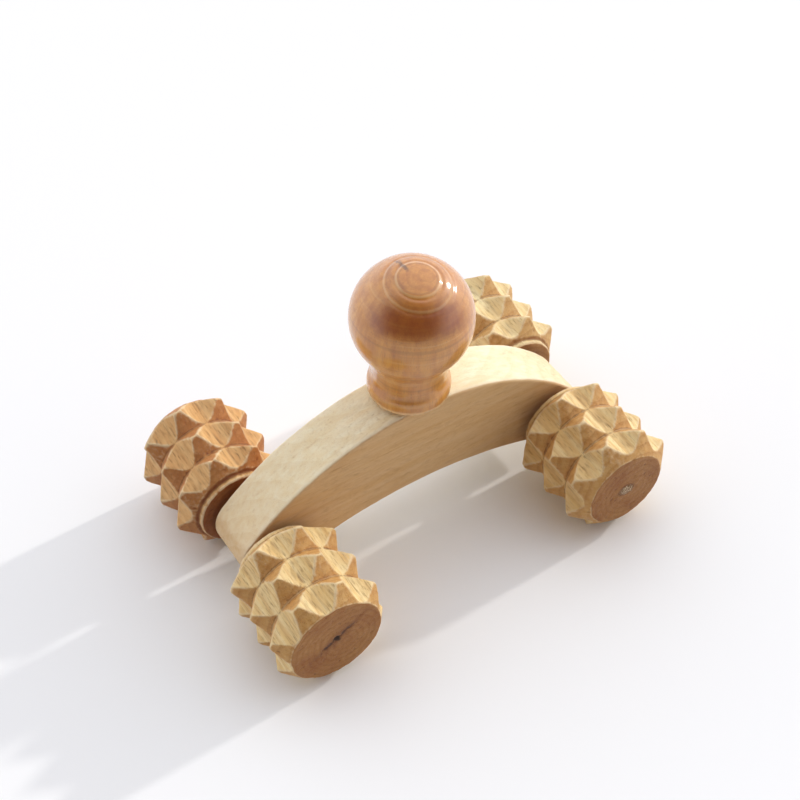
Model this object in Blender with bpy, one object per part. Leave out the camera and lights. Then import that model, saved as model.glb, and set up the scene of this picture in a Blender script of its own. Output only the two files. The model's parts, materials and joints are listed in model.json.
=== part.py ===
"""Wooden foot massage roller: a sawn arched bar with a turned knob on top and four toothed rollers.

X runs along the bar, Y runs along the axle rods and Z points up. The origin is on the floor, under the
middle of the four rollers. Each axle rod turns freely in the bar and carries one glued roller on each
end, so a rod and its two rollers turn together. All lengths are in metres.
"""

import math

import bmesh
import bpy
from mathutils import Matrix, Vector

# Rollers
WHEELBASE = 0.0956
CREST_RADIUS = 0.0170
GROOVE_RADIUS = 0.0135
TEETH = 8
RINGS = 3
RING_PITCH = 0.0107
FIRST_CREST = 0.0060          # inner face to the first crest
CREST_FLAT = 0.0006
ROLLER_LENGTH = 0.0326
FLUTE_FLOOR_RADIUS = 0.01375
INNER_RIM_RADIUS = 0.0130      # where the slope of the first crest starts, beside the collar
COLLAR_RADIUS = 0.0121
COLLAR_LENGTH = 0.0013
COLLAR_GROOVE_RADIUS = 0.0116
COLLAR_GROOVE_WIDTH = 0.0006
EDGE_CHAMFER = 0.0004
END_FACE_RADIUS = {
    "left_front_roller": 0.0140,
    "left_rear_roller": 0.0132,
    "right_front_roller": 0.0125,
    "right_rear_roller": 0.0132,
}

# Axle rods
ROD_RADIUS = 0.0030
ROD_IN_ROLLER = 0.0200
ROD_CHAMFER = 0.0006
FIT_GAP = 0.0003              # radial and end clearance between pieces that meet

# Arched bar
BAR_WIDTH = 0.0168
BAR_CROWN_HEIGHT = 0.0465
BAR_CROWN_X = 0.0025
BAR_UNDERSIDE_HEIGHT = 0.0162
BAR_END_RADIUS = 0.0093
BAR_EDGE_ROUND = 0.0007
ROLLER_TO_BAR = 0.0020

# Knob and the dowel that holds it
KNOB_X = 0.0020
KNOB_LEAN = math.radians(2.5)
KNOB_SEAT_GAP = 0.00036
BALL_RADIUS = 0.0169
BALL_CENTRE = 0.0264          # above the underside of the foot
FOOT_RADIUS = 0.0117
FOOT_CORNER = 0.0009          # how far the underside is set in from the bead
FOOT_BEAD_HEIGHT = 0.0026
FOOT_BEAD_ROUND = 0.0003
WAIST_RADIUS = 0.0105
WAIST_HEIGHT = 0.0070
WAIST_ROUND = 0.0008
FLANK_JOIN = math.radians(-38)      # latitude on the ball where the flank meets it
FLANK_LEAD = 0.0045           # how far the flank runs straight on from the ball
WAIST_LEAD = Vector((0.0004, 0.0028))
DOWEL_RADIUS = 0.0040
DOWEL_IN_KNOB = 0.0125
DOWEL_IN_BAR = 0.0135
HOLE_OVERRUN = 0.0010

# Facets
TURNING_STEPS = 32
ROD_STEPS = 24
FLUTE_STEPS = 18
TOP_LEFT_STEPS = 12
TOP_RIGHT_STEPS = 10
BAR_END_STEPS = 10
UNDERSIDE_STEPS = 14
FLANK_STEPS = 4
BALL_STEPS = 13

# Each tooth ends in one flat facet, and a roller stands on the edges of two of them
LAND_HALF_ANGLE = math.pi / TURNING_STEPS
AXLE_HEIGHT = CREST_RADIUS * math.cos(math.pi / TEETH - LAND_HALF_ANGLE)
AXLE_X = WHEELBASE / 2
INNER_FACE_Y = BAR_WIDTH / 2 + ROLLER_TO_BAR
ROD_HOLE_RADIUS = ROD_RADIUS + FIT_GAP
DOWEL_HOLE_RADIUS = DOWEL_RADIUS + FIT_GAP


def clear_scene():
    for item in list(bpy.data.objects):
        bpy.data.objects.remove(item, do_unlink=True)


def wood(name, colour, roughness):
    material = bpy.data.materials.new(name)
    material.use_nodes = True
    shader = material.node_tree.nodes["Principled BSDF"]
    shader.inputs["Base Color"].default_value = (*colour, 1.0)
    shader.inputs["Roughness"].default_value = roughness
    shader.inputs["Metallic"].default_value = 0.0
    return material


def add_object(name, mesh, material=None):
    item = bpy.data.objects.new(name, mesh)
    bpy.context.collection.objects.link(item)
    if material:
        mesh.materials.append(material)
    return item


def mesh_from(name, build):
    """Make a mesh with faces pointing out from a function that fills a bmesh."""
    shape = bmesh.new()
    build(shape)
    bmesh.ops.recalc_face_normals(shape, faces=shape.faces)
    mesh = bpy.data.meshes.new(name)
    shape.to_mesh(mesh)
    shape.free()
    mesh.update()
    return mesh


def shade_turned(mesh):
    mesh.shade_smooth()
    mesh.set_sharp_from_angle(angle=math.radians(35))


def turned_mesh(name, profile, steps, first_angle=0.0):
    """Turn a profile of (radius, height) points about Z; points of radius 0 become poles."""

    def build(shape):
        rings = []
        for radius, height in profile:
            if radius == 0:
                rings.append([shape.verts.new((0, 0, height))])
                continue
            ring = []
            for step in range(steps):
                angle = first_angle + 2 * math.pi * step / steps
                ring.append(shape.verts.new((radius * math.cos(angle), radius * math.sin(angle), height)))
            rings.append(ring)
        for lower, upper in zip(rings, rings[1:]):
            for step in range(steps):
                after = (step + 1) % steps
                if len(lower) == 1:
                    shape.faces.new((lower[0], upper[step], upper[after]))
                elif len(upper) == 1:
                    shape.faces.new((lower[step], lower[after], upper[0]))
                else:
                    shape.faces.new((lower[step], lower[after], upper[after], upper[step]))

    return mesh_from(name, build)


def add_cutter(name, mesh, matrix):
    cutter = add_object(name, mesh)
    cutter.matrix_world = matrix
    cutter.hide_render = True
    cutter.display_type = "WIRE"
    return cutter


def cut(item, cutter):
    modifier = item.modifiers.new("Cut by " + cutter.name, "BOOLEAN")
    modifier.operation = "DIFFERENCE"
    modifier.solver = "EXACT"
    modifier.object = cutter


def along_y(x, y, z):
    """Place a piece that was turned about Z so that its axis lies along +Y."""
    return Matrix.Translation((x, y, z)) @ Matrix.Rotation(-math.pi / 2, 4, "X")


def arc(centre_x, centre_z, radius, start, end, steps):
    """Points along an arc in the XZ plane, without its last point."""
    points = []
    for step in range(steps):
        angle = start + (end - start) * step / steps
        points.append((centre_x + radius * math.cos(angle), centre_z + radius * math.sin(angle)))
    return points


def crown_radius(span):
    """Radius of a top arc that is level at the crown and tangent to the end round, span away."""
    rise = BAR_CROWN_HEIGHT - AXLE_HEIGHT
    return (span ** 2 + rise ** 2 - BAR_END_RADIUS ** 2) / (2 * (rise - BAR_END_RADIUS))


def bar_outline():
    """Side view of the bar: two top arcs, two round ends about the axle holes and the underside arc."""
    left_span = AXLE_X + BAR_CROWN_X
    right_span = AXLE_X - BAR_CROWN_X
    left_radius = crown_radius(left_span)
    right_radius = crown_radius(right_span)
    left_centre = BAR_CROWN_HEIGHT - left_radius
    right_centre = BAR_CROWN_HEIGHT - right_radius
    left_angle = math.atan2(AXLE_HEIGHT - left_centre, -left_span)
    right_angle = math.atan2(AXLE_HEIGHT - right_centre, right_span)

    drop = BAR_UNDERSIDE_HEIGHT - AXLE_HEIGHT
    under_radius = (AXLE_X ** 2 + drop ** 2 - BAR_END_RADIUS ** 2) / (2 * (drop + BAR_END_RADIUS))
    under_centre = BAR_UNDERSIDE_HEIGHT - under_radius
    under_angle = math.atan2(AXLE_HEIGHT - under_centre, AXLE_X)

    points = arc(BAR_CROWN_X, left_centre, left_radius, left_angle, math.pi / 2, TOP_LEFT_STEPS)
    points += arc(BAR_CROWN_X, right_centre, right_radius, math.pi / 2, right_angle, TOP_RIGHT_STEPS)
    right_end = (right_angle, under_angle - math.pi, BAR_END_STEPS)
    points += arc(AXLE_X, AXLE_HEIGHT, BAR_END_RADIUS, *right_end)
    points += arc(0, under_centre, under_radius, under_angle, math.pi - under_angle, UNDERSIDE_STEPS)
    left_end = (2 * math.pi - under_angle, left_angle, BAR_END_STEPS)
    points += arc(-AXLE_X, AXLE_HEIGHT, BAR_END_RADIUS, *left_end)
    return points


def bar_mesh():
    outline = bar_outline()

    def build(shape):
        near = [shape.verts.new((x, -BAR_WIDTH / 2, z)) for x, z in outline]
        side = shape.faces.new(near)
        pushed = bmesh.ops.extrude_face_region(shape, geom=[side])
        moved = [part for part in pushed["geom"] if isinstance(part, bmesh.types.BMVert)]
        bmesh.ops.translate(shape, verts=moved, vec=(0, BAR_WIDTH, 0))

    return mesh_from("arch_bar", build)


def knob_frame():
    """Foot of the leaning knob: its axis is Z here, its seat on the bar is at height 0."""
    seat = Matrix.Translation((KNOB_X, 0, BAR_CROWN_HEIGHT + KNOB_SEAT_GAP))
    return seat @ Matrix.Rotation(KNOB_LEAN, 4, "Y")


def make_bar():
    bar = add_object("arch_bar", bar_mesh(), wood("bar_wood", (0.78, 0.62, 0.42), 0.62))
    edge = bar.modifiers.new("Softened edges", "BEVEL")
    edge.width = BAR_EDGE_ROUND
    edge.segments = 2
    edge.limit_method = "ANGLE"
    edge.angle_limit = math.radians(60)

    reach = BAR_WIDTH
    for side, x in (("left", -AXLE_X), ("right", AXLE_X)):
        profile = [(0, -reach), (ROD_HOLE_RADIUS, -reach), (ROD_HOLE_RADIUS, reach), (0, reach)]
        drill = turned_mesh(side + "_axle_drill", profile, ROD_STEPS)
        cut(bar, add_cutter(side + "_axle_drill", drill, along_y(x, 0, AXLE_HEIGHT)))

    depth = DOWEL_IN_BAR + HOLE_OVERRUN
    profile = [(0, -depth), (DOWEL_HOLE_RADIUS, -depth), (DOWEL_HOLE_RADIUS, reach), (0, reach)]
    drill = turned_mesh("dowel_drill", profile, ROD_STEPS)
    cut(bar, add_cutter("dowel_drill", drill, knob_frame()))


def knob_profile():
    """Upwards from the bottom of the dowel hole: hole, foot bead, waist, flank and ball."""
    hole = DOWEL_IN_KNOB + HOLE_OVERRUN
    points = [(0, hole), (DOWEL_HOLE_RADIUS, hole), (DOWEL_HOLE_RADIUS, 0), (FOOT_RADIUS - FOOT_CORNER, 0)]
    points.append((FOOT_RADIUS - FOOT_BEAD_ROUND, 0.3 * FOOT_BEAD_HEIGHT))
    points.append((FOOT_RADIUS, FOOT_BEAD_HEIGHT))
    points.append((FOOT_RADIUS - FOOT_BEAD_ROUND, 1.7 * FOOT_BEAD_HEIGHT))
    points.append((WAIST_RADIUS + FOOT_BEAD_ROUND, WAIST_HEIGHT - WAIST_ROUND))
    points.append((WAIST_RADIUS, WAIST_HEIGHT))

    # A curve from the waist that meets the ball in line with it
    start = Vector((WAIST_RADIUS, WAIST_HEIGHT))
    end = Vector((BALL_RADIUS * math.cos(FLANK_JOIN), BALL_CENTRE + BALL_RADIUS * math.sin(FLANK_JOIN)))
    along_ball = Vector((-math.sin(FLANK_JOIN), math.cos(FLANK_JOIN)))
    lead_in = end - along_ball * FLANK_LEAD
    lead_out = start + WAIST_LEAD
    for step in range(1, FLANK_STEPS):
        t = step / FLANK_STEPS
        u = 1 - t
        point = u ** 3 * start + 3 * u ** 2 * t * lead_out + 3 * u * t ** 2 * lead_in + t ** 3 * end
        points.append((point.x, point.y))
    for step in range(BALL_STEPS):
        angle = FLANK_JOIN + (math.pi / 2 - FLANK_JOIN) * step / BALL_STEPS
        points.append((BALL_RADIUS * math.cos(angle), BALL_CENTRE + BALL_RADIUS * math.sin(angle)))
    points.append((0, BALL_CENTRE + BALL_RADIUS))
    return points


def make_knob():
    mesh = turned_mesh("knob", knob_profile(), TURNING_STEPS)
    shade_turned(mesh)
    knob = add_object("knob", mesh, wood("lacquered_wood", (0.50, 0.24, 0.08), 0.18))
    knob.matrix_world = knob_frame()


def rod_profile(half_length, radius):
    return [
        (0, -half_length),
        (radius - ROD_CHAMFER, -half_length),
        (radius, ROD_CHAMFER - half_length),
        (radius, half_length - ROD_CHAMFER),
        (radius - ROD_CHAMFER, half_length),
        (0, half_length),
    ]


def make_dowel():
    half_length = (DOWEL_IN_KNOB + DOWEL_IN_BAR) / 2
    mesh = turned_mesh("knob_dowel", rod_profile(half_length, DOWEL_RADIUS), ROD_STEPS)
    shade_turned(mesh)
    dowel = add_object("knob_dowel", mesh, wood("dowel_wood", (0.72, 0.55, 0.36), 0.6))
    centre = (DOWEL_IN_KNOB - DOWEL_IN_BAR) / 2
    dowel.matrix_world = knob_frame() @ Matrix.Translation((0, 0, centre))


def roller_profile(face_radius):
    """From the bottom of the blind axle hole, out to the inner face, then along the teeth to the end face."""
    hole = ROD_IN_ROLLER + HOLE_OVERRUN / 2
    points = [(0, hole), (ROD_HOLE_RADIUS, hole), (ROD_HOLE_RADIUS, 0), (COLLAR_RADIUS - EDGE_CHAMFER, 0)]
    points += [(COLLAR_RADIUS, EDGE_CHAMFER), (COLLAR_RADIUS, COLLAR_LENGTH)]
    points += [(COLLAR_GROOVE_RADIUS, COLLAR_LENGTH + COLLAR_GROOVE_WIDTH / 2)]
    points += [(INNER_RIM_RADIUS, COLLAR_LENGTH + COLLAR_GROOVE_WIDTH)]
    for ring in range(RINGS):
        crest = FIRST_CREST + ring * RING_PITCH
        points += [(CREST_RADIUS, crest - CREST_FLAT / 2), (CREST_RADIUS, crest + CREST_FLAT / 2)]
        if ring < RINGS - 1:
            points.append((GROOVE_RADIUS, crest + RING_PITCH / 2))
    points += [(face_radius, ROLLER_LENGTH - EDGE_CHAMFER), (face_radius - EDGE_CHAMFER, ROLLER_LENGTH)]
    points.append((0, ROLLER_LENGTH))
    return points


def flute_mesh():
    """Eight round cutters, parallel to the roller's axis, that leave a narrow land on each tooth."""
    half_gap = math.pi / TEETH - LAND_HALF_ANGLE
    half_chord = CREST_RADIUS * math.sin(half_gap)
    depth = CREST_RADIUS * math.cos(half_gap) - FLUTE_FLOOR_RADIUS
    radius = (half_chord ** 2 + depth ** 2) / (2 * depth)
    centre = FLUTE_FLOOR_RADIUS + radius
    overrun = 0.002

    def build(shape):
        for tooth in range(TEETH):
            middle = 2 * math.pi * tooth / TEETH
            place = Matrix.Rotation(middle, 4, "Z") @ Matrix.Translation((centre, 0, ROLLER_LENGTH / 2))
            bmesh.ops.create_cone(
                shape,
                cap_ends=True,
                segments=FLUTE_STEPS,
                radius1=radius,
                radius2=radius,
                depth=ROLLER_LENGTH + overrun,
                matrix=place,
            )

    return mesh_from("flute_cutters", build)


def make_axle_set(side, x, roller_woods):
    axis = bpy.data.objects.new(side + "_axle_axis", None)
    axis.location = (x, 0, AXLE_HEIGHT)
    bpy.context.collection.objects.link(axis)

    half_length = INNER_FACE_Y + ROD_IN_ROLLER
    name = side + "_axle_rod"
    mesh = turned_mesh(name, rod_profile(half_length, ROD_RADIUS), ROD_STEPS)
    shade_turned(mesh)
    rod = add_object(name, mesh, wood(name + "_wood", (0.72, 0.55, 0.36), 0.6))
    pieces = [(rod, along_y(0, 0, 0))]

    half_turn = Matrix.Rotation(math.pi, 4, "Z")
    for end, turn in (("front", half_turn), ("rear", Matrix.Identity(4))):
        name = side + "_" + end + "_roller"
        place = turn @ along_y(0, INNER_FACE_Y, 0)
        profile = roller_profile(END_FACE_RADIUS[name])
        mesh = turned_mesh(name, profile, TURNING_STEPS, first_angle=LAND_HALF_ANGLE)
        roller = add_object(name, mesh, wood(name + "_wood", roller_woods[end], 0.55))
        flutes = add_cutter(name + "_flutes", flute_mesh(), Matrix.Identity(4))
        flutes.parent = roller
        cut(roller, flutes)
        pieces.append((roller, place))

    for piece, place in pieces:
        piece.parent = axis
        piece.matrix_local = place


def main():
    clear_scene()
    make_bar()
    make_knob()
    make_dowel()
    make_axle_set("left", -AXLE_X, {"front": (0.62, 0.40, 0.20), "rear": (0.60, 0.34, 0.16)})
    make_axle_set("right", AXLE_X, {"front": (0.64, 0.44, 0.22), "rear": (0.72, 0.52, 0.30)})


main()
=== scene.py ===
import json
import math

import bpy
import numpy as np
from mathutils import Matrix, Vector, noise


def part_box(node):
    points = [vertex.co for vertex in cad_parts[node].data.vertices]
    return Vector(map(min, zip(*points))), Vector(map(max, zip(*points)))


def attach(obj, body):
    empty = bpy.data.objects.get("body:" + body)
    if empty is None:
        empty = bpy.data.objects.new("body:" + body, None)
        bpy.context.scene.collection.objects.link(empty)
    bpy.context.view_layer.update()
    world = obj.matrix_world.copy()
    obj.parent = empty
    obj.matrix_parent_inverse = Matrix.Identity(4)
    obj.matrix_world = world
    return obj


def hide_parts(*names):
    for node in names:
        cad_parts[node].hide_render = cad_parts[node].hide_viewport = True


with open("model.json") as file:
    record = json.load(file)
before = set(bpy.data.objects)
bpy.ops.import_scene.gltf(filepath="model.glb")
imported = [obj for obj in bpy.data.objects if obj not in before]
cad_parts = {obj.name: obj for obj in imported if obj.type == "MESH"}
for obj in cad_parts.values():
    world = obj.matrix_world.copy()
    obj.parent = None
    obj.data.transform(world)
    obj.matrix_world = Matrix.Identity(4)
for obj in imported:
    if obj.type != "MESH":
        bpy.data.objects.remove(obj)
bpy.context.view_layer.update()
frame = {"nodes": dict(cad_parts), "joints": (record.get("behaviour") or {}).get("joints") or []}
axles = {joint["child"]: Vector(joint["pos_m"]) for joint in frame["joints"]}
mm = 0.001
turn = 2 * math.pi


def pickOnly(piece):
    bpy.ops.object.select_all(action="DESELECT")
    piece.select_set(True)
    bpy.context.view_layer.objects.active = piece


def applyPlace(piece, place):
    pickOnly(piece)
    piece.matrix_world = place
    bpy.ops.object.transform_apply(location=True, rotation=True, scale=True)


def applyModifier(piece, kind, **settings):
    pickOnly(piece)
    modifier = piece.modifiers.new(kind.title(), kind)
    for name, value in settings.items():
        setattr(modifier, name, value)
    bpy.ops.object.modifier_apply(modifier=modifier.name)


def traceLine(name, points):
    # a plane merged to one point, then drawn out along the points; stays in edit mode
    bpy.ops.object.select_all(action="DESELECT")
    bpy.ops.mesh.primitive_plane_add(size=mm)
    piece = bpy.context.object
    piece.name = name
    bpy.ops.object.mode_set(mode="EDIT")
    bpy.ops.mesh.merge(type="CENTER")
    bpy.ops.transform.translate(value=points[0])
    for start, end in zip(points, points[1:]):
        bpy.ops.mesh.extrude_vertices_move(TRANSFORM_OT_translate={"value": end - start})
    bpy.ops.mesh.select_all(action="SELECT")
    return piece


def turnOnLathe(name, profile, steps):    # profile of (radius, height) from pole to pole, turned about Z
    piece = traceLine(name, [Vector((radius, 0, height)) for radius, height in profile])
    bpy.ops.mesh.spin(steps=steps, angle=turn, center=(0, 0, 0), axis=(0, 0, 1))
    bpy.ops.mesh.select_all(action="SELECT")
    bpy.ops.mesh.remove_doubles(threshold=0.002 * mm)
    bpy.ops.mesh.normals_make_consistent(inside=False)
    bpy.ops.object.mode_set(mode="OBJECT")
    return piece


def cutAway(piece, cutter):
    applyModifier(piece, "BOOLEAN", operation="DIFFERENCE", solver="EXACT", object=cutter)
    bpy.data.objects.remove(cutter)


def relax(piece, rounds, amount):
    applyModifier(piece, "SMOOTH", iterations=rounds, factor=amount)


def remesh(piece, voxel):
    applyModifier(piece, "REMESH", mode="VOXEL", voxel_size=voxel, use_smooth_shade=True)


def readPoints(piece):
    points = np.empty(len(piece.data.vertices) * 3, np.float32)
    piece.data.vertices.foreach_get("co", points)
    return points.reshape(-1, 3)


def writePoints(piece, points):
    piece.data.vertices.foreach_set("co", points.astype(np.float32).ravel())
    piece.data.update()


def readNormals(piece):
    normals = np.empty(len(piece.data.vertices) * 3, np.float32)
    piece.data.vertices.foreach_get("normal", normals)
    return normals.reshape(-1, 3)


def roughen(piece, amount, grain, waves, chips=0.0):
    # pushes the surface in and out by soft noise with a few torn chips, stretched along the grain
    points = readPoints(piece)
    normals = readNormals(piece)
    pushed = np.empty(len(points), np.float32)
    for index, point in enumerate(points):
        spot = Vector(point) / waves
        spot -= grain * spot.dot(grain) * 0.8
        chip = max(0.0, noise.noise(spot * 1.7 + Vector((31.0, 7.0, 3.0))) - 0.30)
        pushed[index] = noise.noise(spot) + 0.5 * noise.noise(spot * 2.3) - chips * chip
    writePoints(piece, points + normals * (pushed * amount)[:, None])


def markWearAndCreaseShade(piece, reach, spread):
    # the attribute is above 0.5 on ridges, which get pale wear, and below it in hollows, which get painted
    # shade; reach is the size of ridge that counts fully
    points = readPoints(piece)
    normals = readNormals(piece)
    edges = np.empty(len(piece.data.edges) * 2, np.int32)
    piece.data.edges.foreach_get("vertices", edges)
    one, other = edges.reshape(-1, 2).T
    count = np.bincount(one, minlength=len(points)) + np.bincount(other, minlength=len(points))
    count = np.maximum(count, 1)

    def average(values):
        total = np.zeros_like(values)
        np.add.at(total, one, values[other])
        np.add.at(total, other, values[one])
        return total / (count if values.ndim == 1 else count[:, None])

    middle = average(points.astype(np.float64))
    bulge = ((points - middle) * normals).sum(axis=1)
    for _ in range(spread):
        bulge = 0.5 * bulge + 0.5 * average(bulge)
    worn = np.clip(0.5 + 0.5 * bulge / reach, 0, 1)
    layer = piece.data.attributes.new("edgeWearCreaseShade", "FLOAT", "POINT")
    layer.data.foreach_set("value", worn.astype(np.float32))


class Signal:    # a node's output that Python can do sums with
    def __init__(self, finish, socket):
        self.finish = finish
        self.socket = socket

    def sum(self, operation, *values):
        return self.finish.add("ShaderNodeMath", {"operation": operation}, dict(enumerate(values)))

    def __add__(self, other):
        return self.sum("ADD", self, other)

    def __radd__(self, other):
        return self.sum("ADD", other, self)

    def __sub__(self, other):
        return self.sum("SUBTRACT", self, other)

    def __rsub__(self, other):
        return self.sum("SUBTRACT", other, self)

    def __mul__(self, other):
        return self.sum("MULTIPLY", self, other)

    def __rmul__(self, other):
        return self.sum("MULTIPLY", other, self)

    def __truediv__(self, other):
        return self.sum("DIVIDE", self, other)

    def __rtruediv__(self, other):
        return self.sum("DIVIDE", other, self)

    def __pow__(self, other):
        return self.sum("POWER", self, other)

    def __rpow__(self, other):
        return self.sum("POWER", other, self)

    def __abs__(self):
        return self.sum("ABSOLUTE", self)


class Finish:    # one material and the shorthand for filling it
    def __init__(self, name):
        self.material = bpy.data.materials.new(name)
        self.material.use_nodes = True
        self.tree = self.material.node_tree
        self.shader = self.tree.nodes["Principled BSDF"]

    def add(self, kind, settings, inputs, out=0):
        node = self.tree.nodes.new(kind)
        for name, value in settings.items():
            setattr(node, name, value)
        for name, value in inputs.items():
            self.plug(node.inputs[name], value)
        return Signal(self, node.outputs[out])

    def plug(self, socket, value):
        if isinstance(value, Signal):
            self.tree.links.new(value.socket, socket)
        else:
            socket.default_value = value

    def set(self, **values):
        for name, value in values.items():
            self.plug(self.shader.inputs[name.replace("_", " ")], value)

    def step(self, value, low, high, bottom=0.0, top=1.0):    # an eased step from bottom to top
        inputs = {"Value": value, "From Min": low, "From Max": high, "To Min": bottom, "To Max": top}
        return self.add("ShaderNodeMapRange", {"interpolation_type": "SMOOTHSTEP"}, inputs)

    def mix(self, amount, under, over, blend="MIX"):
        settings = {"data_type": "RGBA", "blend_type": blend}
        return self.add("ShaderNodeMix", settings, {0: amount, 6: under, 7: over}, 2)

    def stretch(self, vector, along, across, shift=0.0):
        inputs = {0: vector, 1: (along, across, across), 2: (shift,) * 3}
        return self.add("ShaderNodeVectorMath", {"operation": "MULTIPLY_ADD"}, inputs)

    def cloud(self, vector, detail=4.0, roughness=0.55, out="Factor"):
        inputs = {"Vector": vector, "Scale": 1.0, "Detail": detail, "Roughness": roughness}
        return self.add("ShaderNodeTexNoise", {}, inputs, 0 if out == "Factor" else 1)

    def along(self, vector, axis):    # one of the vector's three numbers
        return self.add("ShaderNodeSeparateXYZ", {}, {"Vector": vector}, axis)


def rgb(red, green, blue):    # a colour as it is seen, 0 to 255, to the linear one that a shader wants
    parts = [part / 255 for part in (red, green, blue)]
    linear = [part / 12.92 if part <= 0.04045 else ((part + 0.055) / 1.055) ** 2.4 for part in parts]
    return (*linear, 1.0)


def grainSpace(finish, centre, turned):
    # millimetres from the centre, with the first axis along the grain
    seen = finish.add("ShaderNodeTexCoord", {}, {}, "Object")
    inputs = {"Vector": seen, "Location": centre, "Rotation": turned, "Scale": (mm, mm, mm)}
    return finish.add("ShaderNodeMapping", {"vector_type": "TEXTURE"}, inputs)


def grainNormal(finish, turned):    # how squarely the surface cuts the grain, from 0 to 1
    facing = finish.add("ShaderNodeTexCoord", {}, {}, "Normal")
    inputs = {"Vector": facing, "Rotation": turned}
    local = finish.add("ShaderNodeMapping", {"vector_type": "TEXTURE"}, inputs)
    return abs(finish.along(local, 0))


def woodFinish(name, centre, turned, look):
    finish = Finish(name)
    place = grainSpace(finish, centre, turned)
    cutAcross = grainNormal(finish, turned)
    shift = look["seed"] * 17.3

    # growth rings about the pith, pulled out of round
    wander = finish.cloud(finish.stretch(place, 0.02, 0.09, shift), 2.0, 0.5, "Color")
    drift = finish.add("ShaderNodeVectorMath", {"operation": "MULTIPLY_ADD"}, {
        0: wander,
        1: (0.0, look["ringWander"], look["ringWander"]),
        2: place,
    })
    fromPith = finish.add("ShaderNodeVectorMath", {"operation": "MULTIPLY_ADD"}, {
        0: drift,
        1: (0.0, 1.0, 1.0),
        2: (0.0, *look["pith"]),
    })
    depth = finish.add("ShaderNodeVectorMath", {"operation": "LENGTH"}, {0: fromPith}, "Value")
    ring = depth / look["ringWidth"]
    phase = ring.sum("FRACT", ring)
    lateWood = finish.step(phase, 0.35, 0.92) * finish.step(phase, 1.0, 0.93)

    # fibres along the grain, broad and fine
    broad = finish.cloud(finish.stretch(place, 0.035, 0.55, shift), 5.0, 0.6)
    fibre = finish.cloud(finish.stretch(place, 0.11, 2.4, shift + 3.1), 4.0, 0.65)
    hair = finish.cloud(finish.stretch(place, 0.35, 7.5, shift + 5.7), 3.0, 0.7)
    patch = finish.cloud(finish.stretch(place, 0.07, 0.12, shift + 8.9), 3.0, 0.5)
    speck = finish.cloud(finish.stretch(place, 1.9, 5.5, shift + 1.3), 2.0, 0.5)
    pore = finish.step(finish.cloud(finish.stretch(place, 0.30, 5.2, shift + 11.3), 3.0, 0.6), 0.57, 0.68)
    streak = finish.step(fibre, 0.60, 0.74)
    fleck = finish.step(speck, 0.66, 0.76)

    colour = finish.mix(finish.step(broad, 0.30, 0.70), look["pale"], look["mid"])
    colour = finish.mix(lateWood * look["ringStrength"], colour, look["late"])
    colour = finish.mix(finish.step(patch, 0.48, 0.72) * look["patchStrength"], colour, look["warm"])
    colour = finish.mix(streak * look["streakStrength"], colour, look["dark"])
    fleckShown = fleck * finish.step(cutAcross, 0.95, 0.4, 0.25)
    colour = finish.mix(fleckShown * look["fleckStrength"], colour, look["dark"])
    poreShown = pore * finish.step(cutAcross, 0.9, 0.5)
    colour = finish.mix(poreShown * look["poreStrength"], colour, look["dark"])
    colour = finish.mix((hair - 0.5) * look["hairStrength"] + 0.5, colour, look["pale"], "SOFT_LIGHT")

    # where the cut crosses the fibres it drinks in more oil
    thirsty = finish.step(cutAcross, look["thirstFrom"], look["thirstTo"])
    mottled = thirsty * (0.75 + 0.5 * finish.cloud(finish.stretch(place, 1.2, 1.2, shift), 3.0, 0.6))
    colour = finish.mix(mottled * look["thirst"], colour, look["thirstColour"], "MULTIPLY")
    endGrain = finish.step(cutAcross, 0.78, 0.95) * (0.55 + 0.9 * patch)
    colour = finish.mix(endGrain * look["endGrain"], colour, look["endColour"], "MULTIPLY")

    if look["wear"]:
        # the attribute is high on ridges, which get pale wear, and low in hollows, which get painted shade
        worn = finish.add("ShaderNodeAttribute", {"attribute_name": "edgeWearCreaseShade"}, {}, "Fac")
        ragged = worn + (patch - 0.5) * 0.9 + (fibre - 0.5) * 0.5 + (speck - 0.5) * 0.4
        bare = finish.step(ragged, 0.58, 1.05) * finish.step(cutAcross, 0.97, 0.80)
        colour = finish.mix(bare * look["wear"], colour, look["worn"])
        # painted shade: hollows and creases are darkened by multiplying in a darker colour
        creaseShadeMask = finish.step(worn, 0.44, 0.16)
        colour = finish.mix(creaseShadeMask * look["creaseShadeStrength"], colour, look["creaseShade"], "MULTIPLY")
    if "marks" in look:
        colour = look["marks"](finish, place, cutAcross, colour)

    relief = fibre * 0.55 + hair * 0.35 + speck * 0.25 - streak * 0.5 - fleck * 0.7 - pore * 0.6
    bumped = finish.add("ShaderNodeBump", {}, {
        "Strength": look["bump"],
        "Distance": look["bumpDepth"],
        "Height": relief,
    })
    finish.set(Base_Color=colour, Normal=bumped)
    finish.set(Roughness=look["roughness"] + (fibre - 0.5) * 0.18)
    for socket, value in look.get("shader", {}).items():
        finish.set(**{socket: value})
    return finish.material


def dress(piece, material):
    piece.data.materials.clear()
    piece.data.materials.append(material)


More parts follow.
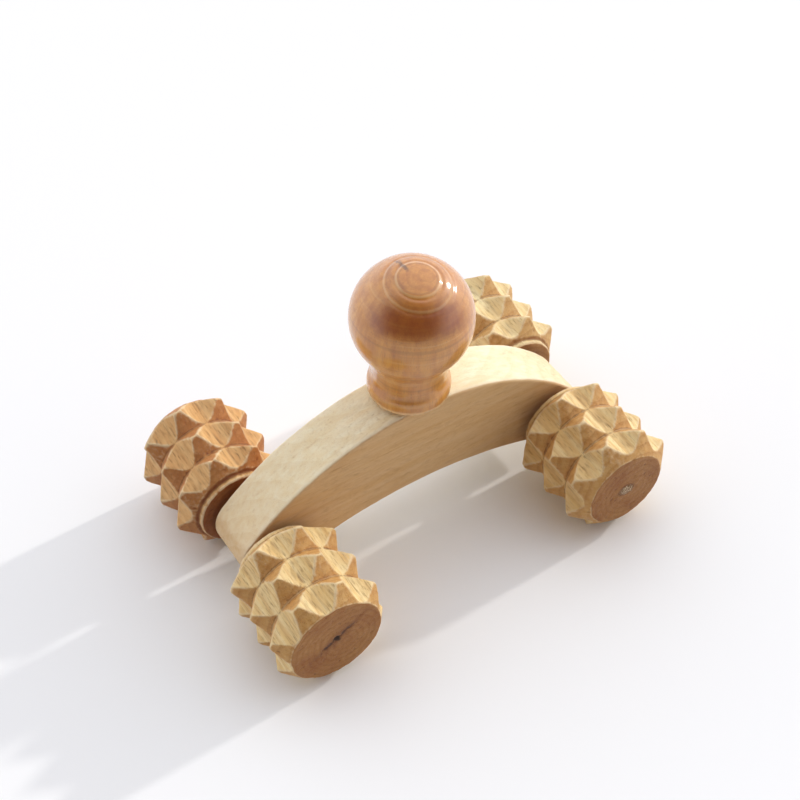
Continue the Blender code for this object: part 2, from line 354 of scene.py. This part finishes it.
barSettings = {
    "crownX": 2.5 * mm,           # the top of the arch lies a little right of the middle
    "undersideHeight": 16.2 * mm,
    "edgeRound": 0.6 * mm,
    "voxel": 0.42 * mm,
    "unevenness": 0.09 * mm,
    "rodHole": 3.3 * mm,
    "dowelHole": 4.3 * mm,
    "dowelHoleDepth": 14.5 * mm,
}
barLow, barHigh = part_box("arch_bar")
axleX = axles["right_axle_set"].x
axleZ = axles["right_axle_set"].z
knobSettings = {
    "x": 2.0 * mm,
    "lean": math.radians(2.5),
    "seatGap": 0.36 * mm,
    "ballRadius": 16.9 * mm,
    "ballCentre": 26.4 * mm,
    "footRadius": 11.7 * mm,
    "footBead": 2.6 * mm,
    "waistRadius": 10.5 * mm,
    "waistHeight": 7.0 * mm,
    "holeDepth": 13.5 * mm,
    "rings": (6.3, 9.3),              # radii of the two cut rings around the crown, in mm
    "ringCut": 0.20 * mm,
    "crown": 5.4,                     # radius of the flattened crown, in mm
    "crownMiddle": (-0.5, -2.8),      # the crown was sanded a little to the front, in mm
    "crownRimLightAndShade": ((5.7, 0.45, 0.35), (8.8, 0.40, 0.22)),    # painted highlight rims, each with painted shade just inside: radius, width in mm, strength
    "rawEdge": 0.30 * mm,             # how far the torn lower edge wanders
    "ripple": 0.016 * mm,
    "steps": 220,
}


def knobPlace():
    seat = Matrix.Translation((knobSettings["x"], 0, barHigh.z + knobSettings["seatGap"]))
    return seat @ Matrix.Rotation(knobSettings["lean"], 4, "Y")


def arc(x, z, radius, start, end, steps):    # leaves out the last point
    angles = [start + (end - start) * step / steps for step in range(steps)]
    return [Vector((x + radius * math.cos(angle), 0, z + radius * math.sin(angle))) for angle in angles]


def barOutline():
    endRadius = barHigh.x - axleX
    crownX = barSettings["crownX"]
    rise = barHigh.z - axleZ

    def topArc(span):
        radius = (span ** 2 + rise ** 2 - endRadius ** 2) / (2 * (rise - endRadius))
        return radius, barHigh.z - radius

    leftRadius, leftZ = topArc(axleX + crownX)
    rightRadius, rightZ = topArc(axleX - crownX)
    leftAngle = math.atan2(axleZ - leftZ, -axleX - crownX)
    rightAngle = math.atan2(axleZ - rightZ, axleX - crownX)
    drop = barSettings["undersideHeight"] - axleZ
    underRadius = (axleX ** 2 + drop ** 2 - endRadius ** 2) / (2 * (drop + endRadius))
    underZ = barSettings["undersideHeight"] - underRadius
    underAngle = math.atan2(axleZ - underZ, axleX)
    outline = arc(crownX, leftZ, leftRadius, leftAngle, math.pi / 2, 40)
    outline += arc(crownX, rightZ, rightRadius, math.pi / 2, rightAngle, 40)
    outline += arc(axleX, axleZ, endRadius, rightAngle, underAngle - math.pi, 28)
    outline += arc(0, underZ, underRadius, underAngle, math.pi - underAngle, 60)
    outline += arc(-axleX, axleZ, endRadius, turn - underAngle, leftAngle, 28)
    return outline


def drill(name, radius, depth, place):
    bpy.ops.object.select_all(action="DESELECT")
    bpy.ops.mesh.primitive_cylinder_add(vertices=64, radius=radius, depth=depth)
    bit = bpy.context.object
    bit.name = name
    applyPlace(bit, place)
    return bit


def makeBar():
    width = barHigh.y - barLow.y
    bar = traceLine("archBar", barOutline())
    bpy.ops.mesh.edge_face_add()
    bpy.ops.transform.translate(value=(0, -width / 2, 0))
    bpy.ops.mesh.extrude_region_move(TRANSFORM_OT_translate={"value": (0, width, 0)})
    bpy.ops.mesh.select_all(action="SELECT")
    bpy.ops.mesh.normals_make_consistent(inside=False)
    bpy.ops.object.mode_set(mode="OBJECT")
    for edge in bar.data.edges:
        low, high = (bar.data.vertices[index].co for index in edge.vertices)
        edge.select = abs(low.y - high.y) < 0.1 * width
    bpy.ops.object.mode_set(mode="EDIT")
    bpy.ops.mesh.select_mode(type="EDGE")
    bpy.ops.mesh.bevel(offset=barSettings["edgeRound"], segments=3, affect="EDGES")
    bpy.ops.mesh.select_mode(type="VERT")
    bpy.ops.object.mode_set(mode="OBJECT")

    across = Matrix.Rotation(math.pi / 2, 4, "X")
    # known fault: these cuts come out as pegs standing on the bar, and not as holes in it
    for axle in axles.values():
        bored = Matrix.Translation(axle) @ across
        cutAway(bar, drill("axleDrill", barSettings["rodHole"], 2 * width, bored))
    depth = barSettings["dowelHoleDepth"]
    sunk = knobPlace() @ Matrix.Translation((0, 0, -depth / 2 + width / 4))
    cutAway(bar, drill("dowelDrill", barSettings["dowelHole"], depth + width / 2, sunk))

    remesh(bar, barSettings["voxel"])
    relax(bar, 2, 0.4)
    roughen(bar, barSettings["unevenness"], Vector((1, 0, 0)), 3.0 * mm)
    markWearAndCreaseShade(bar, 0.012 * mm, 2)
    print("arched bar:", len(bar.data.polygons), "faces")
    return bar


def barSideShade(finish, place, cutAcross, colour):
    # painted shade: the faces that look across the bar are painted darker than the top
    facing = abs(finish.along(finish.add("ShaderNodeTexCoord", {}, {}, "Normal"), 1))
    return finish.mix(finish.step(facing, 0.35, 0.9) * 0.85, colour, barLook["sideShadeColour"], "MULTIPLY")


barLook = {
    "seed": 1,
    "pale": rgb(250, 235, 205),
    "mid": rgb(242, 220, 182),
    "late": rgb(214, 180, 132),
    "warm": rgb(226, 196, 150),
    "dark": rgb(150, 108, 66),
    "worn": rgb(244, 230, 204),
    # painted shade colour for hollows and creases
    "creaseShade": rgb(206, 172, 128),
    # painted shade colour for the bar's sides
    "sideShadeColour": rgb(220, 184, 142),
    "ringWander": 4.0,
    "pith": (24.0, 38.0),
    "ringWidth": 3.6,
    "ringStrength": 0.18,
    "patchStrength": 0.25,
    "streakStrength": 0.30,
    "fleckStrength": 0.30,
    "poreStrength": 0.24,
    "hairStrength": 1.0,
    "thirstFrom": 0.35,
    "thirstTo": 0.95,
    "thirst": 0.5,
    "thirstColour": rgb(214, 176, 128),
    "endGrain": 0.2,
    "endColour": rgb(220, 190, 150),
    "wear": 0.35,
    "creaseShadeStrength": 0.4,
    "bump": 0.65,
    "bumpDepth": 0.26 * mm,
    "roughness": 0.66,
    "marks": barSideShade,
}


rollerSettings = {
    "crest": 17.5 * mm,                  # the tips stand about half a millimetre proud of the frame's
    "groove": 13.5 * mm,
    "teeth": 8,
    "rings": 3,
    "pitch": 10.7 * mm,
    "firstCrest": 6.0 * mm,
    "crestFlat": 0.5 * mm,
    "fluteFloor": 13.75 * mm,
    "innerRim": 13.0 * mm,
    "fluteRound": 4.6 * mm,
    "fluteSlope": math.radians(33),      # of the flat walls on both sides of the round floor
    "collar": 12.1 * mm,
    "collarLength": 1.3 * mm,
    "collarGroove": 11.4 * mm,
    "collarGrooveWidth": 0.8 * mm,
    "rodHole": 3.3 * mm,
    "rodHoleDepth": 20.5 * mm,
    "steps": 128,
    "voxel": 0.31 * mm,
    "unevenness": 0.13 * mm,
}


def rollerProfile(length, faceRadius):
    s = rollerSettings
    points = [(0, s["rodHoleDepth"]), (s["rodHole"], s["rodHoleDepth"]), (s["rodHole"], 0)]
    points += [(s["collar"] - 0.4 * mm, 0), (s["collar"], 0.4 * mm), (s["collar"], s["collarLength"])]
    points += [(s["collarGroove"], s["collarLength"] + s["collarGrooveWidth"] / 2)]
    points += [(s["innerRim"], s["collarLength"] + s["collarGrooveWidth"])]
    for ring in range(s["rings"]):
        crest = s["firstCrest"] + ring * s["pitch"]
        points += [(s["crest"], crest - s["crestFlat"] / 2), (s["crest"], crest + s["crestFlat"] / 2)]
        if ring < s["rings"] - 1:
            points.append((s["groove"], crest + s["pitch"] / 2))
    points += [(faceRadius, length - 0.3 * mm), (faceRadius - 0.3 * mm, length), (0, length)]
    return points


def fluteCutters(length):
    s = rollerSettings
    slope = s["fluteSlope"]
    middle = s["fluteFloor"] + s["fluteRound"]
    wall = 8 * mm
    angles = [slope * (step / 6 - 1) for step in range(13)]
    radius = s["fluteRound"]
    floorLine = [Vector((middle - radius * math.cos(a), radius * math.sin(a), 0)) for a in angles]
    out = Vector((math.sin(slope), -math.cos(slope), 0)) * wall
    first = floorLine[0] + out
    last = Vector((first.x, -first.y, 0))
    cutter = traceLine("fluteCutter", [first, *floorLine, last])
    bpy.ops.mesh.edge_face_add()
    bpy.ops.transform.translate(value=(0, 0, -0.1 * length))
    bpy.ops.mesh.extrude_region_move(TRANSFORM_OT_translate={"value": (0, 0, 1.2 * length)})
    bpy.ops.mesh.select_all(action="SELECT")
    bpy.ops.mesh.normals_make_consistent(inside=False)
    bpy.ops.object.mode_set(mode="OBJECT")
    cutters = [cutter]
    for tooth in range(1, s["teeth"]):
        twin = cutter.copy()
        twin.data = cutter.data.copy()
        bpy.context.collection.objects.link(twin)
        applyPlace(twin, Matrix.Rotation(turn * tooth / s["teeth"], 4, "Z"))
        cutters.append(twin)
    pickOnly(cutter)
    for twin in cutters:
        twin.select_set(True)
    bpy.ops.object.join()
    return cutter


def makeRoller(name, node, settings):
    low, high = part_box(node)
    axle = axles[settings["body"]]
    length = high.y - low.y
    front = low.y < 0
    roller = turnOnLathe(name, rollerProfile(length, settings["faceRadius"]), rollerSettings["steps"])
    cutAway(roller, fluteCutters(length))
    innerY = -high.y if front else low.y
    place = Matrix.Translation((axle.x, 0, axle.z))
    place = place @ Matrix.Rotation(settings["turned"], 4, "Y")
    if front:
        place = place @ Matrix.Rotation(math.pi, 4, "Z")
    applyPlace(roller, place @ Matrix.Translation((0, innerY, 0)) @ Matrix.Rotation(-math.pi / 2, 4, "X"))
    remesh(roller, rollerSettings["voxel"])
    relax(roller, 2, 0.5)
    roughen(roller, rollerSettings["unevenness"], Vector((0, 1, 0)), 2.2 * mm, chips=1.6)
    points = readPoints(roller)
    if "centre" in settings:
        settings["centre"](points, (axle.x, low.y, axle.z))
    points[:, 2] = np.maximum(points[:, 2], 0)    # the tooth that stands on the floor is worn flat
    writePoints(roller, points)
    markWearAndCreaseShade(roller, 0.022 * mm, 3)
    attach(roller, settings["body"])
    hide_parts(node)
    print(name, len(roller.data.polygons), "faces")
    return roller


rollerLook = {
    "seed": 2,
    "pale": rgb(242, 216, 170),
    "mid": rgb(228, 192, 136),
    "late": rgb(190, 146, 92),
    "warm": rgb(212, 168, 108),
    "dark": rgb(122, 80, 40),
    "worn": rgb(246, 224, 180),
    # painted shade colour for hollows and creases
    "creaseShade": rgb(150, 100, 58),
    "ringWander": 3.4,
    "pith": (0.6, -0.4),
    "ringWidth": 1.9,
    "ringStrength": 0.38,
    "patchStrength": 0.4,
    "streakStrength": 0.65,
    "fleckStrength": 0.35,
    "poreStrength": 0.55,
    "hairStrength": 0.9,
    "thirstFrom": 0.12,
    "thirstTo": 0.50,
    "thirst": 0.78,
    "thirstColour": rgb(220, 180, 122),
    "endGrain": 0.85,
    "endColour": rgb(204, 176, 148),
    "wear": 0.62,
    "creaseShadeStrength": 0.55,
    "bump": 0.9,
    "bumpDepth": 0.40 * mm,
    "roughness": 0.55,
}
pithHeight = 1.2      # of the hole in the left front roller's face, in mm over its middle
crackSlope = 0.6      # rise of the crack through that hole
nubOval = 1.35        # how much wider than high the torn stub is


def faceSpot(points, middle):
    # how far each point of a front end face is from its middle, in mm, and its offsets from there
    offsets = (points - np.array(middle, np.float32)) / mm
    reach = np.hypot(offsets[:, 0] / nubOval, offsets[:, 2])
    return np.where(np.abs(offsets[:, 1]) < 1.0, reach, 99.0), offsets


def pit(points, middle):    # a small hole where the pith has dropped out, with a crack through it
    reach, offsets = faceSpot(points, middle)
    wave = 0.35 * np.sin(offsets[:, 0] * 1.9)
    across = np.abs(offsets[:, 2] - pithHeight - crackSlope * offsets[:, 0] + wave)
    length = np.abs(offsets[:, 0])
    crack = np.clip(1 - across / 0.55, 0, 1) * np.clip((6.2 - length) / 2.5, 0, 1) * (reach < 20)
    hole = np.clip(1 - np.hypot(offsets[:, 0], offsets[:, 2] - pithHeight) / 1.3, 0, 1) * (reach < 20)
    points[:, 1] += (0.15 * crack + 0.8 * hole) * mm


def nub(points, middle):    # a torn stub left where the roller was parted off
    reach, offsets = faceSpot(points, middle)
    ragged = 0.5 * np.sin(offsets[:, 0] * 4.1 + 1.0) * np.sin(offsets[:, 2] * 3.7)
    points[:, 1] -= np.clip((1.7 + ragged - reach) / 0.7, 0, 1) * (0.35 + 0.25 * ragged) * mm


def pithCrack(finish, place, cutAcross, colour):
    x = finish.along(place, 1) * -1
    z = finish.along(place, 2)
    wobble = finish.cloud(place, 3.0, 0.6) * 1.6 - 0.8
    across = abs(z - pithHeight - x * crackSlope + wobble)
    broken = finish.step(finish.cloud(finish.stretch(place, 0.9, 0.9, 2.0), 3.0, 0.6), 0.40, 0.60)
    line = finish.step(across, 1.1, 0.1) * finish.step(abs(x), 7.0, 4.0) * broken
    above = z - pithHeight
    hole = finish.step((x * x + above * above) ** 0.5 + wobble, 1.5, 0.7)
    stain = finish.step(across + abs(x) * 0.35, 4.6, 0.5) * finish.step(cutAcross, 0.6, 0.9)
    colour = finish.mix(stain * 0.55, colour, rgb(176, 138, 112), "MULTIPLY")
    colour = finish.mix(line * finish.step(cutAcross, 0.5, 0.9) * 0.8, colour, rgb(70, 40, 24))
    return finish.mix(hole * finish.step(cutAcross, 0.3, 0.6) * 0.9, colour, rgb(52, 28, 16))


def tornNub(finish, place, cutAcross, colour):
    x = finish.along(place, 1) / nubOval
    z = finish.along(place, 2)
    wobble = finish.cloud(finish.stretch(place, 1.4, 1.4), 4.0, 0.7) * 1.8 - 0.9
    reach = (x * x + z * z) ** 0.5 + wobble * 1.2
    onFace = finish.step(finish.along(place, 0), -14.5, -15.5)
    torn = finish.cloud(finish.stretch(place, 2.6, 2.6, 5.0), 3.0, 0.7)
    colour = finish.mix(finish.step(reach, 2.5, 1.7) * onFace * 0.55, colour, rgb(116, 76, 44))
    nubColour = finish.mix(finish.step(torn, 0.42, 0.60), rgb(150, 104, 64), rgb(238, 214, 176))
    return finish.mix(finish.step(reach, 1.9, 1.3) * onFace * 0.9, colour, nubColour)


rollers = {
    "left_front_roller": {
        "body": "left_axle_set",
        "slot": "roller_wood_ochre",
        "faceRadius": 14.0 * mm,
        "turned": math.radians(-7.5),
        "look": {"seed": 2, "marks": pithCrack},
        "centre": pit,
    },
    "left_rear_roller": {
        "body": "left_axle_set",
        "slot": "roller_wood_red",
        "faceRadius": 13.2 * mm,
        "turned": math.radians(9),
        "look": {
            "seed": 3,
            "pale": rgb(226, 188, 138),
            "mid": rgb(208, 162, 108),
            "thirstColour": rgb(216, 170, 120),
        },
    },
    "right_front_roller": {
        "body": "right_axle_set",
        "slot": "roller_wood_ochre",
        "faceRadius": 12.5 * mm,
        "turned": math.radians(4),
        "look": {"seed": 4, "marks": tornNub},
        "centre": nub,
    },
    "right_rear_roller": {
        "body": "right_axle_set",
        "slot": "roller_wood_pale",
        "faceRadius": 13.2 * mm,
        "turned": 0,
        "look": {"seed": 5, "pale": rgb(240, 220, 178), "mid": rgb(232, 204, 154)},
    },
}


def knobProfile():
    s = knobSettings
    bead = s["footBead"]
    bulge = 0.9 * mm
    neck = s["footRadius"] - bulge
    hole = barSettings["dowelHole"]
    points = [(0, s["holeDepth"]), (hole, s["holeDepth"]), (hole, 0), (neck, 0)]
    for step in range(9):    # round bead at the foot
        angle = math.radians(-70 + 140 * step / 8)
        points.append((neck + bulge * math.cos(angle), bead + bead * math.sin(angle)))
    waist = Vector((s["waistRadius"], s["waistHeight"]))
    join = math.radians(-38)
    end = Vector((s["ballRadius"] * math.cos(join), s["ballCentre"] + s["ballRadius"] * math.sin(join)))
    leadIn = end - Vector((-math.sin(join), math.cos(join))) * 4.5 * mm
    leadOut = waist + Vector((0.4, 2.8)) * mm
    for step in range(16):
        t = step / 16
        u = 1 - t
        point = u ** 3 * waist + 3 * u ** 2 * t * leadOut + 3 * u * t ** 2 * leadIn + t ** 3 * end
        points.append((point.x, point.y))
    for step in range(110):
        angle = join + (math.pi / 2 - join) * step / 110
        radius = s["ballRadius"]
        points.append((radius * math.cos(angle), s["ballCentre"] + radius * math.sin(angle)))
    points.append((0, s["ballCentre"] + s["ballRadius"]))
    return points


def makeKnob():
    knob = turnOnLathe("ballKnob", knobProfile(), knobSettings["steps"])
    roughen(knob, knobSettings["ripple"], Vector((0, 0, 1)), 1.3 * mm)
    points = readPoints(knob)
    middleX, middleY = knobSettings["crownMiddle"]
    out = np.hypot(points[:, 0] / mm - middleX, points[:, 1] / mm - middleY)
    dip = 1.1 * np.clip(1 - (out / knobSettings["crown"]) ** 2, 0, 1)
    for ring in knobSettings["rings"]:
        dip += np.exp(-((out - ring) / 0.40) ** 2)
    top = points[:, 2] > knobSettings["ballCentre"] + 0.4 * knobSettings["ballRadius"]
    points -= readNormals(knob) * (dip * top * knobSettings["ringCut"])[:, None]
    outside = np.hypot(points[:, 0], points[:, 1]) > knobSettings["footRadius"] - 1.4 * mm
    low = np.clip(1 - points[:, 2] / (1.5 * mm), 0, 1) * outside
    for index in np.flatnonzero(low):
        spot = Vector(points[index]) / mm
        torn = noise.noise(spot * 0.9) + 0.8 * noise.noise(spot * 2.6)
        points[index, :2] *= 1 + low[index] * torn * knobSettings["rawEdge"] / knobSettings["footRadius"]
    writePoints(knob, points)
    applyPlace(knob, knobPlace())
    bpy.ops.object.shade_smooth_by_angle(angle=math.radians(40))
    print("knob:", len(knob.data.polygons), "faces")
    return knob


def knobMarks(finish, place, cutAcross, colour):
    height = finish.along(place, 0)    # from the middle of the ball
    x = finish.along(place, 2) * -1
    y = finish.along(place, 1)
    bands = finish.cloud(finish.stretch(place, 0.55, 0.015), 4.0, 0.65)
    blotch = finish.cloud(finish.stretch(place, 0.16, 0.13, 2.0), 4.0, 0.6)
    colour = finish.mix(finish.step(bands, 0.52, 0.70) * 0.28, colour, rgb(128, 70, 26))
    colour = finish.mix(finish.step(bands, 0.46, 0.34) * 0.35, colour, rgb(220, 172, 104))
    # painted shade and painted dark reflection: a darker band around the front of the ball
    frontShadeBand = finish.step(abs(height - 9.8 + (blotch - 0.5) * 4), 5.6, 1.2)
    frontShadeBand = frontShadeBand * finish.step(x * 0.45 + y * 0.89 + (bands - 0.5) * 6, -5.0, -11.0)
    colour = finish.mix(frontShadeBand * 0.95, colour, rgb(194, 152, 76), "MULTIPLY")
    crown = finish.step(height, 9.5, 12.0)
    middleX, middleY = knobSettings["crownMiddle"]
    crownX = x - middleX
    crownY = y - middleY
    fromCrown = (crownX * crownX + crownY * crownY) ** 0.5
    # painted highlight along each turned rim of the crown and painted shade just inside it
    for ring, width, strength in knobSettings["crownRimLightAndShade"]:
        offRim = fromCrown - ring + blotch * 0.8 - 0.4
        rimHighlight = finish.step(abs(offRim), width, 0.05) * crown
        colour = finish.mix(rimHighlight * strength, colour, rgb(236, 204, 150))
        shade = finish.step(abs(offRim + 0.7), width, 0.05) * crown
        colour = finish.mix(shade * strength * 0.8, colour, rgb(120, 74, 32))
    wobble = finish.cloud(finish.stretch(place, 0.6, 0.9, 4.0), 4.0, 0.7) * 2.2 - 1.1
    crack = finish.step(abs(x + 1.6 + wobble), 0.9, 0.1) * finish.step(abs(y - 3.4), 3.8, 2.0) * crown
    colour = finish.mix(crack * 0.7, colour, rgb(70, 42, 24))
    seat = -knobSettings["ballCentre"] / mm
    raw = finish.step(height + wobble * 0.7, seat + 1.9, seat + 1.1)
    return finish.mix(raw * 0.75, colour, rgb(232, 192, 134))


knobLook = {
    "seed": 6,
    "pale": rgb(210, 158, 80),
    "mid": rgb(188, 132, 60),
    "late": rgb(150, 94, 36),
    "warm": rgb(196, 134, 54),
    "dark": rgb(92, 48, 12),
    "ringWander": 4.0,
    "pith": (1.2, -0.8),
    "ringWidth": 2.6,
    "ringStrength": 0.20,
    "patchStrength": 0.45,
    "streakStrength": 0.35,
    "fleckStrength": 0.30,
    "poreStrength": 0.30,
    "hairStrength": 0.9,
    "thirstFrom": 0.35,
    "thirstTo": 0.95,
    "thirst": 0.25,
    "thirstColour": rgb(214, 176, 120),
    "endGrain": 0,
    "endColour": rgb(220, 190, 150),
    "wear": 0,
    "bump": 0.25,
    "bumpDepth": 0.12 * mm,
    "roughness": 0.42,
    "shader": {"Coat_Weight": 1.0, "Coat_Roughness": 0.14, "Coat_IOR": 1.5},
    "marks": knobMarks,
}

dowelLook = dict(rollerLook, seed=7, wear=0, pale=rgb(226, 194, 144), mid=rgb(212, 176, 122))


bar = makeBar()
dress(bar, woodFinish("bareBarWood", (barLow + barHigh) / 2, (0, 0, 0), barLook))
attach(bar, "bar_and_knob")
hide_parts("arch_bar")

knob = makeKnob()
ballMiddle = knobPlace() @ Vector((0, 0, knobSettings["ballCentre"]))
upTheKnob = (0, knobSettings["lean"] - math.pi / 2, 0)
dress(knob, woodFinish("lacqueredKnobWood", ballMiddle, upTheKnob, knobLook))
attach(knob, "bar_and_knob")
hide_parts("knob")

alongAxle = (0, 0, math.pi / 2)
for node, settings in rollers.items():
    roller = makeRoller(node.replace("_roller", "Roller").replace("_", ""), node, settings)
    low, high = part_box(node)
    look = dict(rollerLook, **settings["look"])
    dress(roller, woodFinish(node + "_wood", (low + high) / 2, alongAxle, look))

dowels = {"left_axle_rod": alongAxle, "right_axle_rod": alongAxle, "knob_dowel": (0, -math.pi / 2, 0)}
for node, turned in dowels.items():
    low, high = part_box(node)
    dress(frame["nodes"][node], woodFinish(node + "_wood", (low + high) / 2, turned, dowelLook))
print("wood dressed")


stageSettings = {
    "floorSize": 4.0,
    "floorColour": rgb(243, 244, 246),
    "sunStrength": 1.36,
    "sunAngle": math.radians(2.5),
    "sunElevation": math.radians(22),
    "sunAzimuth": math.radians(2),      # from +X towards +Y
    "sunColour": (1.0, 0.96, 0.90),
    "sky": (0.965, 0.97, 1.0),
    "skyStrength": 1.50,
    "room": (0.10, 0.085, 0.075),       # the dark room behind the camera
    "roomMiddle": Vector((-0.45, -0.72, 0.52)),
    "roomFade": (0.25, 0.85),           # cosines from the room's middle where it starts and is full
}
cameraSettings = {
    "place": (-0.15985, -0.25687, 0.37302),
    "azimuth": math.radians(-31.76),
    "elevation": math.radians(47.52),
    "roll": math.radians(-0.65),
    "lens": 72.77,
}


def makeStage():
    bpy.ops.object.select_all(action="DESELECT")
    bpy.ops.mesh.primitive_plane_add(size=stageSettings["floorSize"], location=(0, 0, 0))
    floor = bpy.context.object
    floor.name = "floor"
    finish = Finish("paleFloor")
    finish.set(Base_Color=stageSettings["floorColour"], Roughness=0.7, Specular_IOR_Level=0.3)
    dress(floor, finish.material)

    direction = Matrix.Rotation(stageSettings["sunAzimuth"], 4, "Z") @ Matrix.Rotation(
        math.pi / 2 - stageSettings["sunElevation"], 4, "Y")
    bpy.ops.object.light_add(type="SUN")
    sun = bpy.context.object
    sun.name = "keyLight"
    sun.matrix_world = direction
    sun.data.energy = stageSettings["sunStrength"]
    sun.data.angle = stageSettings["sunAngle"]
    sun.data.color = stageSettings["sunColour"]

    world = bpy.data.worlds.new("softRoom")
    bpy.context.scene.world = world
    world.use_nodes = True
    nodes = world.node_tree.nodes
    links = world.node_tree.links
    ray = nodes.new("ShaderNodeTexCoord")
    towards = nodes.new("ShaderNodeVectorMath")
    towards.operation = "DOT_PRODUCT"
    towards.inputs[1].default_value = stageSettings["roomMiddle"].normalized()
    links.new(ray.outputs["Generated"], towards.inputs[0])
    fade = nodes.new("ShaderNodeMapRange")
    fade.interpolation_type = "SMOOTHSTEP"
    fade.inputs["From Min"].default_value, fade.inputs["From Max"].default_value = stageSettings["roomFade"]
    links.new(towards.outputs["Value"], fade.inputs["Value"])
    blend = nodes.new("ShaderNodeMix")
    blend.data_type = "RGBA"
    blend.inputs[6].default_value = (*stageSettings["sky"], 1)
    blend.inputs[7].default_value = (*stageSettings["room"], 1)
    links.new(fade.outputs["Result"], blend.inputs[0])
    background = nodes["Background"]
    background.inputs["Strength"].default_value = stageSettings["skyStrength"]
    links.new(blend.outputs[2], background.inputs["Color"])
    bpy.context.scene.view_settings.view_transform = "Standard"


def makeCamera():
    s = cameraSettings
    aim = Matrix.Rotation(s["azimuth"], 4, "Z") @ Matrix.Rotation(math.pi / 2 - s["elevation"], 4, "X")
    bpy.ops.object.camera_add()
    camera = bpy.context.object
    camera.matrix_world = Matrix.Translation(s["place"]) @ aim @ Matrix.Rotation(s["roll"], 4, "Z")
    camera.data.lens = s["lens"]
    camera.data.sensor_width = 36
    camera.data.clip_start = 0.01
    bpy.context.scene.camera = camera


makeStage()
makeCamera()
